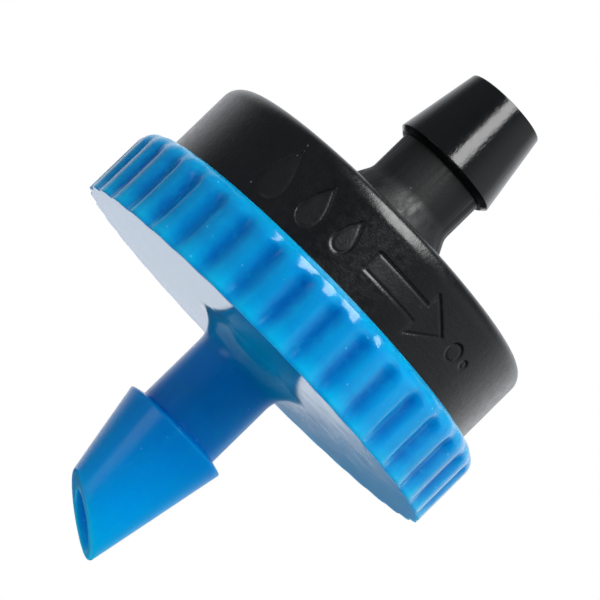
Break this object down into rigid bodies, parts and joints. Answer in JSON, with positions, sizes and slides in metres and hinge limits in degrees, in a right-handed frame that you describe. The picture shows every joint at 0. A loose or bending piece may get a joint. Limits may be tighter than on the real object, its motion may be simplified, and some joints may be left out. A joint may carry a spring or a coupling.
{
  "type": "button drip emitter",
  "caption": "Round pressure-compensating button dripper with a self-piercing inlet barb, a fluted grip ring, a round-edged cover and a barb for outlet tube.",
  "frame": {"origin": "on the emitter's axis in the plane of the disc's underside, where the wall of the supply pipe stops against it", "axes": "+Z along the axis from the inlet barb towards the outlet barb; the slanted piercing cut of the inlet barb faces -X and -Z"},
  "size_m": [0.0214, 0.0214, 0.0283],
  "materials": {
    "blue_plastic": "moulded polypropylene, satin gloss",
    "silicone": "matt moulded silicone",
    "natural_acetal": "uncoloured moulded acetal",
    "black_plastic": "moulded polypropylene, satin gloss"
  },
  "bodies": {
    "housing": {"inlet_base": "blue_plastic", "labyrinth_disc": "natural_acetal", "outlet_cover": "black_plastic"},
    "diaphragm": {"diaphragm": "silicone"}
  },
  "joints": [
    {"name": "diaphragm_lift", "type": "slide", "parent": "housing", "child": "diaphragm", "axis": [0, 0, 1], "range_m": [0, 0.00035]}
  ]
}
